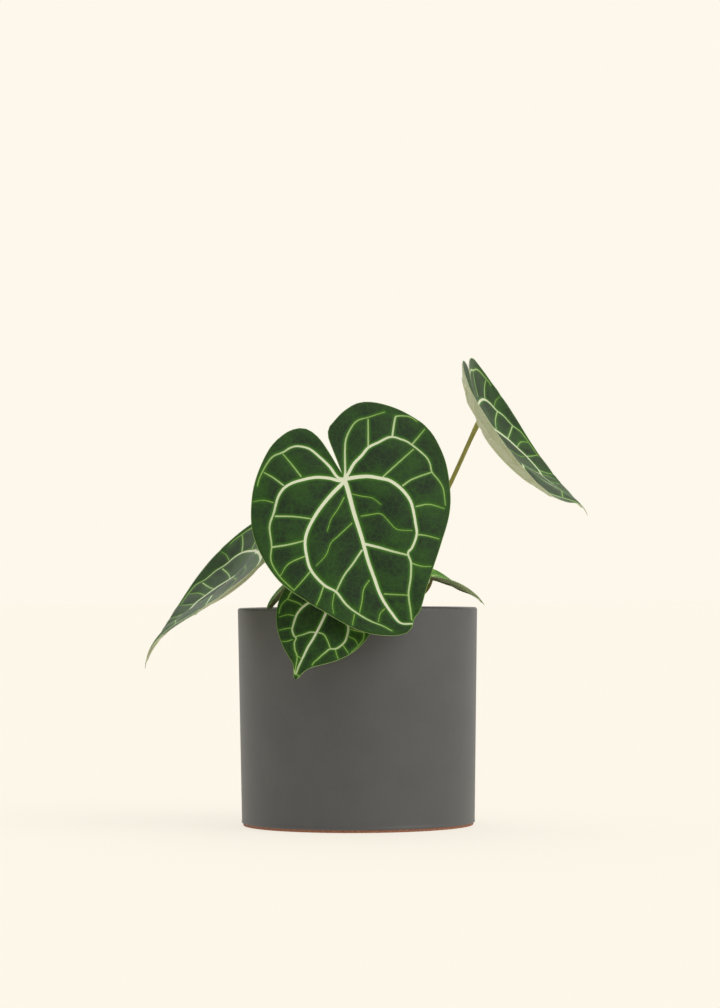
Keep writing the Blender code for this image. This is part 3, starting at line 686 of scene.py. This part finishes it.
SHEATHS = [(58, 112 * MM, 27 * MM, 12), (108, 107 * MM, 20 * MM, 20)]
SHEATH_WIDTH = 6 * MM
SHEATH_THICK = .3 * MM


def make_sheath(number, bearing, foot, length, lean, surface):
    """A dried scale, rolled about the stem, with a torn thin tip."""
    bm = bmesh.new()
    bmesh.ops.create_grid(bm, x_segments=16, y_segments=36, size=1)
    turn = math.radians(bearing)
    out = Vector((math.cos(turn), math.sin(turn), 0))
    side = Vector((-math.sin(turn), math.cos(turn), 0))
    rolled = STEM_RADIUS + CLEAR + .7 * MM
    for vert in bm.verts:
        share = (vert.co.y + 1) / 2
        across = vert.co.x
        half = .5 * SHEATH_WIDTH * (1 - share ** 2.2) ** .8 + .12 * MM
        wrap = across * half / rolled
        reach = rolled + math.tan(math.radians(lean)) * length * share ** 1.4
        crinkle = .25 * MM * math.sin(9 * across + 3 * math.sin(7 * share)) * share
        rise = Vector((0, 0, foot + length * share + 1.2 * MM * abs(across) * share))
        vert.co = out * (reach * math.cos(wrap) + crinkle) + side * rolled * math.sin(wrap) + rise
    made = bmesh.ops.extrude_face_region(bm, geom=bm.faces[:], use_keep_orig=True)["geom"]
    for item in made:
        if isinstance(item, bmesh.types.BMVert):
            item.co -= out * SHEATH_THICK
    bmesh.ops.recalc_face_normals(bm, faces=bm.faces)
    for face in bm.faces:
        face.smooth = True
    mesh = bpy.data.meshes.new("sheath")
    bm.to_mesh(mesh)
    bm.free()
    mesh.materials.append(surface)
    add_piece(f"dry_scale_{number + 1}", mesh, "sheath", f"sheath_{number + 1}")


def sheath_finish():
    """Cataphyll: dried to thin brown paper with lengthwise fibres."""
    surface, tree, shader = shade("dried_brown_cataphyll", Roughness=.85, Specular_IOR_Level=.25)
    place = add(tree, "ShaderNodeTexCoord", {}).outputs["Object"]
    long_grain = add(tree, "ShaderNodeMapping", {"Vector": place, "Scale": (1600, 1600, 90)})
    fibre = add(tree, "ShaderNodeTexNoise", {"Vector": long_grain.outputs["Vector"], "Scale": 1, "Detail": 3})
    colour = blend(tree, ramp(tree, fibre.outputs["Fac"], .3, .7), linear("#7a5433"), linear("#b58d62"))
    tree.links.new(colour.outputs["Result"], shader.inputs["Base Color"])
    bump = add(tree, "ShaderNodeBump", {"Height": fibre.outputs["Fac"], "Strength": .6, "Distance": .2 * MM})
    tree.links.new(bump.outputs["Normal"], shader.inputs["Normal"])
    return surface


# Pot
def make_pot(glaze, clay):
    """A turned cylinder with a rounded lip, an unglazed foot and three drainage holes."""
    inner = POT_RADIUS - POT_WALL
    inner_foot = POT_FOOT_RADIUS - POT_WALL
    foot = POT_FOOT_RADIUS - FOOT_INSET
    round_angles = [math.radians(angle) for angle in range(0, 91, 15)]
    lip = [(inner + LIP_ROUND * (1 - math.cos(a)), POT_HIGH.z - LIP_ROUND * (1 - math.sin(a))) for a in round_angles]
    outer_lip = [(POT_RADIUS - LIP_ROUND * (1 - math.sin(a)), POT_HIGH.z - LIP_ROUND * (1 - math.cos(a)))
                 for a in round_angles]
    bead = [(POT_FOOT_RADIUS + .12 * MM * math.sin(a), FOOT_HEIGHT + (.9 + .55 * math.cos(a)) * MM)
            for a in [math.radians(angle) for angle in range(0, 181, 30)]]
    shoulder = [(POT_FOOT_RADIUS - .35 * MM, FOOT_HEIGHT + .15 * MM), (foot, FOOT_HEIGHT)]
    profile = [(0, POT_FLOOR), (inner_foot - CORNER, POT_FLOOR), (inner_foot - .6 * MM, POT_FLOOR + .6 * MM),
               (inner_foot, POT_FLOOR + CORNER), *lip, *outer_lip, (POT_FOOT_RADIUS + .02 * MM, 4 * MM), *bead,
               *shoulder, (foot, .2 * MM), (foot - .3 * MM, 0), (0, 0)]
    bm = bmesh.new()
    points = [bm.verts.new((radius, 0, height)) for radius, height in profile]
    for first, second in zip(points, points[1:]):
        bm.edges.new((first, second))
    bmesh.ops.spin(bm, geom=bm.verts[:] + bm.edges[:], cent=(0, 0, 0), axis=(0, 0, 1), angle=math.tau,
                   steps=TURN_STEPS, use_merge=True)
    bmesh.ops.remove_doubles(bm, verts=bm.verts, dist=.001 * MM)
    bmesh.ops.recalc_face_normals(bm, faces=bm.faces)
    for face in bm.faces:
        centre = face.calc_center_median()
        below = centre.z < FOOT_HEIGHT + .05 * MM or face.normal.z < -.9
        face.material_index = 1 if below else 0
        face.smooth = True
    mesh = bpy.data.meshes.new("pot")
    bm.to_mesh(mesh)
    bm.free()
    mesh.materials.append(glaze)
    mesh.materials.append(clay)
    pot = bpy.data.objects.new("pot_blank", mesh)
    bpy.context.scene.collection.objects.link(pot)
    cutters = []
    for index in range(HOLES):
        bearing = math.tau * index / HOLES + math.radians(HOLE_BEARING)
        cut_bm = bmesh.new()
        bmesh.ops.create_cone(cut_bm, cap_ends=True, segments=48, radius1=HOLE_RADIUS, radius2=HOLE_RADIUS,
                              depth=4 * POT_FLOOR)
        place = Vector((math.cos(bearing), math.sin(bearing), 0)) * HOLE_CIRCLE
        bmesh.ops.translate(cut_bm, verts=cut_bm.verts, vec=place)
        cut_mesh = bpy.data.meshes.new("drill")
        cut_bm.to_mesh(cut_mesh)
        cut_bm.free()
        cutter = bpy.data.objects.new("drill", cut_mesh)
        bpy.context.scene.collection.objects.link(cutter)
        hole = pot.modifiers.new("hole", "BOOLEAN")
        hole.operation = "DIFFERENCE"
        hole.object = cutter
        cutters.append(cutter)
    depsgraph = bpy.context.evaluated_depsgraph_get()
    finished = bpy.data.meshes.new_from_object(pot.evaluated_get(depsgraph))
    for scrap in (pot, *cutters):
        bpy.data.objects.remove(scrap)
    finished.shade_smooth()
    finished.set_sharp_from_angle(angle=math.radians(42))
    add_piece("cylinder_pot", finished, "pot", "pot")


def glaze_finish():
    """Stoneware under a satin charcoal glaze: soft broad highlights and a very fine sandy tooth."""
    surface, tree, shader = shade("satin_charcoal_glaze", Roughness=.5, Specular_IOR_Level=.5)
    place = add(tree, "ShaderNodeTexCoord", {}).outputs["Object"]
    tooth = add(tree, "ShaderNodeTexNoise", {"Vector": place, "Scale": 1 / (.5 * MM), "Detail": 2})
    cloud = add(tree, "ShaderNodeTexNoise", {"Vector": place, "Scale": 1 / (22 * MM), "Detail": 3})
    colour = blend(tree, ramp(tree, cloud.outputs["Fac"], .3, .7), linear("#4f4f4f"), linear("#535352"))
    colour = blend(tree, ramp(tree, tooth.outputs["Fac"], .55, .8, 0, .3), colour.outputs["Result"],
                   linear("#6a6a69"))
    tree.links.new(colour.outputs["Result"], shader.inputs["Base Color"])
    bump = add(tree, "ShaderNodeBump", {"Height": tooth.outputs["Fac"], "Strength": .25, "Distance": .12 * MM})
    tree.links.new(bump.outputs["Normal"], shader.inputs["Normal"])
    return surface


def clay_finish():
    """Unglazed reddish stoneware: dry, gritty and dull."""
    surface, tree, shader = shade("unglazed_red_stoneware", Roughness=.9, Specular_IOR_Level=.3)
    place = add(tree, "ShaderNodeTexCoord", {}).outputs["Object"]
    grit = add(tree, "ShaderNodeTexNoise", {"Vector": place, "Scale": 1 / (.8 * MM), "Detail": 3})
    colour = blend(tree, ramp(tree, grit.outputs["Fac"], .35, .7), linear("#8a5a46"), linear("#a87860"))
    tree.links.new(colour.outputs["Result"], shader.inputs["Base Color"])
    bump = add(tree, "ShaderNodeBump", {"Height": grit.outputs["Fac"], "Strength": .5, "Distance": .2 * MM})
    tree.links.new(bump.outputs["Normal"], shader.inputs["Normal"])
    return surface


# Potting mix
def mix_surface(x, y):
    waves = math.sin(x * 171 + .6) * math.cos(y * 143 - .4) + .6 * math.sin(x * 318 - y * 275 + 1.1)
    return MIX_LEVEL + MIX_SWELL * waves


def make_soil(surface):
    """The bed: a turned plug whose top rises and falls like loose crumbs."""
    foot = POT_FOOT_RADIUS - POT_WALL - CLEAR
    rings = np.linspace(0, MIX_RADIUS, 60)
    profile = [(radius, MIX_LEVEL) for radius in rings]
    profile += [(foot, POT_FLOOR + CORNER + CLEAR), (foot - CORNER, POT_FLOOR + CLEAR), (0, POT_FLOOR + CLEAR)]
    bm = bmesh.new()
    points = [bm.verts.new((radius, 0, height)) for radius, height in profile]
    for first, second in zip(points, points[1:]):
        bm.edges.new((first, second))
    bmesh.ops.spin(bm, geom=bm.verts[:] + bm.edges[:], cent=(0, 0, 0), axis=(0, 0, 1), angle=math.tau,
                   steps=160, use_merge=True)
    bmesh.ops.remove_doubles(bm, verts=bm.verts, dist=.001 * MM)
    for vert in bm.verts:
        if abs(vert.co.z - MIX_LEVEL) < .01 * MM:
            x, y = vert.co.xy
            crumbs = math.sin(x * 1900) * math.sin(y * 2100 + 2 * math.sin(x * 900)) * .5 * MM
            vert.co.z = mix_surface(x, y) - .8 * MM + crumbs
    bmesh.ops.recalc_face_normals(bm, faces=bm.faces)
    for face in bm.faces:
        face.smooth = True
    mesh = bpy.data.meshes.new("soil")
    bm.to_mesh(mesh)
    bm.free()
    mesh.materials.append(surface)
    add_piece("soil_bed", mesh, "potting_mix", "potting_mix")


def chunk(draw, rounded):
    """One irregular crumb, about 1 across: a bevelled block, pulled out of square."""
    bm = bmesh.new()
    bmesh.ops.create_cube(bm, size=1)
    bmesh.ops.bevel(bm, geom=bm.edges[:], offset=rounded, segments=1, affect="EDGES", profile=.5, material=-1)
    for vert in bm.verts:
        vert.co *= draw.uniform(.82, 1.12)
    bmesh.ops.recalc_face_normals(bm, faces=bm.faces)
    mesh = bpy.data.meshes.new("chunk")
    bm.to_mesh(mesh)
    bm.free()
    return mesh


def make_crumbs(name, surface, count, lengths, flatness, rounded, seed, sunk):
    """Crumbs strewn over the bed, each tilted its own way. An attribute gives each its own tint."""
    draw = random.Random(seed)
    kinds = [chunk(draw, rounded) for _ in range(7)]
    bm = bmesh.new()
    tint = bm.verts.layers.float.new("tint")
    for index in range(count):
        size = draw.uniform(*lengths)
        nearest = STEM_RADIUS + .6 * size
        widest = MIX_RADIUS - .6 * size
        reach = math.sqrt(nearest ** 2 + (widest ** 2 - nearest ** 2) * draw.random())
        bearing = index * math.radians(GOLDEN_TURN) + draw.uniform(-.2, .2)
        x = reach * math.cos(bearing)
        y = reach * math.sin(bearing)
        place = Matrix.Translation((x, y, mix_surface(x, y) + size * flatness * draw.uniform(-sunk, .55)))
        turn = Matrix.Rotation(draw.uniform(0, math.tau), 4, "Z") @ Matrix.Rotation(draw.gauss(0, .35), 4, "X") \
            @ Matrix.Rotation(draw.gauss(0, .35), 4, "Y")
        scale = Matrix.Diagonal((size, size * draw.uniform(.5, .85), size * flatness, 1))
        start = len(bm.verts)
        bm.from_mesh(kinds[index % len(kinds)])
        bm.verts.ensure_lookup_table()
        fresh = bm.verts[start:]
        bmesh.ops.transform(bm, matrix=place @ turn @ scale, verts=fresh)
        shade_share = draw.random()
        for vert in fresh:
            vert[tint] = shade_share
    mesh = bpy.data.meshes.new(name)
    bm.to_mesh(mesh)
    bm.free()
    mesh.materials.append(surface)
    add_piece(name, mesh, "potting_mix")


def bark_finish():
    """Fir bark: dull red-brown layers, darker when damp."""
    surface, tree, shader = shade("damp_fir_bark", Roughness=.88, Specular_IOR_Level=.3)
    tint = add(tree, "ShaderNodeAttribute", {}, attribute_name="tint").outputs["Fac"]
    place = add(tree, "ShaderNodeTexCoord", {}).outputs["Object"]
    fibre = add(tree, "ShaderNodeTexNoise", {"Vector": place, "Scale": 1 / (1.4 * MM), "Detail": 4})
    colour = blend(tree, tint, linear("#3a2519"), linear("#7b5238"))
    colour = blend(tree, ramp(tree, fibre.outputs["Fac"], .4, .65, 0, .55), colour.outputs["Result"],
                   linear("#2a1b13"))
    tree.links.new(colour.outputs["Result"], shader.inputs["Base Color"])
    bump = add(tree, "ShaderNodeBump", {"Height": fibre.outputs["Fac"], "Strength": .8, "Distance": .5 * MM})
    tree.links.new(bump.outputs["Normal"], shader.inputs["Normal"])
    return surface


def soil_finish():
    """Peat and fine bark: almost black where it is damp."""
    surface, tree, shader = shade("damp_peat", Roughness=.95, Specular_IOR_Level=.2)
    place = add(tree, "ShaderNodeTexCoord", {}).outputs["Object"]
    crumbs = add(tree, "ShaderNodeTexNoise", {"Vector": place, "Scale": 1 / (1.1 * MM), "Detail": 4})
    colour = blend(tree, ramp(tree, crumbs.outputs["Fac"], .35, .7), linear("#1f1611"), linear("#47352a"))
    tree.links.new(colour.outputs["Result"], shader.inputs["Base Color"])
    bump = add(tree, "ShaderNodeBump", {"Height": crumbs.outputs["Fac"], "Strength": 1, "Distance": .8 * MM})
    tree.links.new(bump.outputs["Normal"], shader.inputs["Normal"])
    return surface


def perlite_finish():
    """Perlite: puffed volcanic glass, chalky white."""
    surface, tree, shader = shade("chalky_perlite", Roughness=.9, Specular_IOR_Level=.3)
    place = add(tree, "ShaderNodeTexCoord", {}).outputs["Object"]
    pits = add(tree, "ShaderNodeTexNoise", {"Vector": place, "Scale": 1 / (.6 * MM), "Detail": 3})
    colour = blend(tree, ramp(tree, pits.outputs["Fac"], .35, .65), linear("#bdb8ab"), linear("#e8e4da"))
    tree.links.new(colour.outputs["Result"], shader.inputs["Base Color"])
    bump = add(tree, "ShaderNodeBump", {"Height": pits.outputs["Fac"], "Strength": .6, "Distance": .3 * MM})
    tree.links.new(bump.outputs["Normal"], shader.inputs["Normal"])
    return surface


# Studio
BACKDROP = "#fef8ec"
CAMERA_PLACE = Vector((0, -1.868, .136))
CAMERA_AIM = Vector((.0016, 0, .170))
CAMERA_LENS = 125.6
CAMERA_ROLL = -.25


def make_floor():
    """A pale floor, lit so evenly that it runs into the backdrop, with a trace of the pot's shadow."""
    bm = bmesh.new()
    bmesh.ops.create_grid(bm, x_segments=1, y_segments=1, size=12)
    bmesh.ops.translate(bm, verts=bm.verts, vec=(0, 0, -.1 * MM))
    mesh = bpy.data.meshes.new("floor")
    bm.to_mesh(mesh)
    bm.free()
    surface = bpy.data.materials.new("seamless_cream_paper")
    surface.use_nodes = True
    tree = surface.node_tree
    tree.nodes.clear()
    glow = add(tree, "ShaderNodeEmission", {"Color": linear(BACKDROP), "Strength": 1})
    paper = add(tree, "ShaderNodeBsdfDiffuse", {"Color": linear("#f4eee2")})
    both = add(tree, "ShaderNodeMixShader", {0: .25, 1: glow.outputs[0], 2: paper.outputs[0]})
    add(tree, "ShaderNodeOutputMaterial", {"Surface": both.outputs[0]})
    mesh.materials.append(surface)
    floor = bpy.data.objects.new("floor", mesh)
    bpy.context.scene.collection.objects.link(floor)


def make_world():
    """A pale backdrop all round, whose light comes mostly from behind the plant."""
    world = bpy.data.worlds.new("studio")
    bpy.context.scene.world = world
    world.use_nodes = True
    tree = world.node_tree
    tree.nodes.clear()
    way = add(tree, "ShaderNodeTexCoord", {}).outputs["Generated"]
    parts = add(tree, "ShaderNodeSeparateXYZ", {"Vector": way})
    back = add(tree, "ShaderNodeMapRange", {"Value": parts.outputs["Y"], "From Min": -1.0, "From Max": 1.0,
                                            "To Min": .45, "To Max": 1.0})
    light = add(tree, "ShaderNodeBackground", {"Color": linear("#fdfaf4"), "Strength": back.outputs[0]})
    seen = add(tree, "ShaderNodeBackground", {"Color": linear(BACKDROP), "Strength": 1})
    path = add(tree, "ShaderNodeLightPath", {})
    both = add(tree, "ShaderNodeMixShader", {0: path.outputs["Is Camera Ray"], 1: light.outputs[0],
                                             2: seen.outputs[0]})
    add(tree, "ShaderNodeOutputWorld", {"Surface": both.outputs[0]})


def make_sun(name, direction, strength, angle):
    """A soft, even light from a direction."""
    light = bpy.data.lights.new(name, "SUN")
    light.energy = strength
    light.angle = math.radians(angle)
    lamp = bpy.data.objects.new(name, light)
    lamp.rotation_euler = Vector(direction).to_track_quat("Z", "Y").to_euler()
    bpy.context.scene.collection.objects.link(lamp)


def make_camera():
    camera = bpy.data.cameras.new("camera")
    camera.lens = CAMERA_LENS
    camera.sensor_width = 36
    camera.clip_start = .05
    camera.clip_end = 60
    holder = bpy.data.objects.new("camera", camera)
    turn = (CAMERA_AIM - CAMERA_PLACE).to_track_quat("-Z", "Y").to_matrix().to_4x4()
    holder.matrix_world = Matrix.Translation(CAMERA_PLACE) @ turn @ Matrix.Rotation(math.radians(CAMERA_ROLL), 4, "Z")
    bpy.context.scene.collection.objects.link(holder)
    bpy.context.scene.camera = holder


velvet_leaf = velvet("velvet_anthurium_leaf", "#12260c", "#24480e", "#3f7a10", "#86ad4c", "#dfe4c6", .35)
velvet_young = velvet("young_anthurium_leaf", "#3f7a12", "#5a9420", "#7db63a", "#a6c96a", "#d2dcae", .15)
pale_back = underside("waxy_leaf_underside", "#c2c8a4", "#d8dbb8", "#aab58a")
young_back = underside("young_leaf_underside", "#a9b98c", "#c6cfa4", "#93a873")
petiole = stalk_finish()
cork = stem_finish()
dry_scale = sheath_finish()

make_pot(glaze_finish(), clay_finish())
make_soil(soil_finish())
bark = bark_finish()
make_crumbs("bark_chips", bark, 420, (5 * MM, 12 * MM), .38, .14, 11, .35)
make_crumbs("bark_fines", bark, 700, (1.8 * MM, 4 * MM), .6, .16, 12, .2)
make_crumbs("perlite", perlite_finish(), 90, (2 * MM, 4.2 * MM), .8, .26, 13, .1)
make_stem(cork)
make_roots(cork)
for number, facts in enumerate(SHEATHS):
    make_sheath(number, *facts, dry_scale)
for leaf in LEAVES:
    make_stalk(leaf, petiole)
    make_blade(leaf, velvet_young if leaf.young else velvet_leaf, young_back if leaf.young else pale_back)

make_floor()
make_world()
make_sun("key", (.75, -.5, .8), 1.1, 50)
make_sun("back", (-.3, .8, .9), .6, 60)
make_camera()
bpy.context.scene.view_settings.view_transform = "Standard"
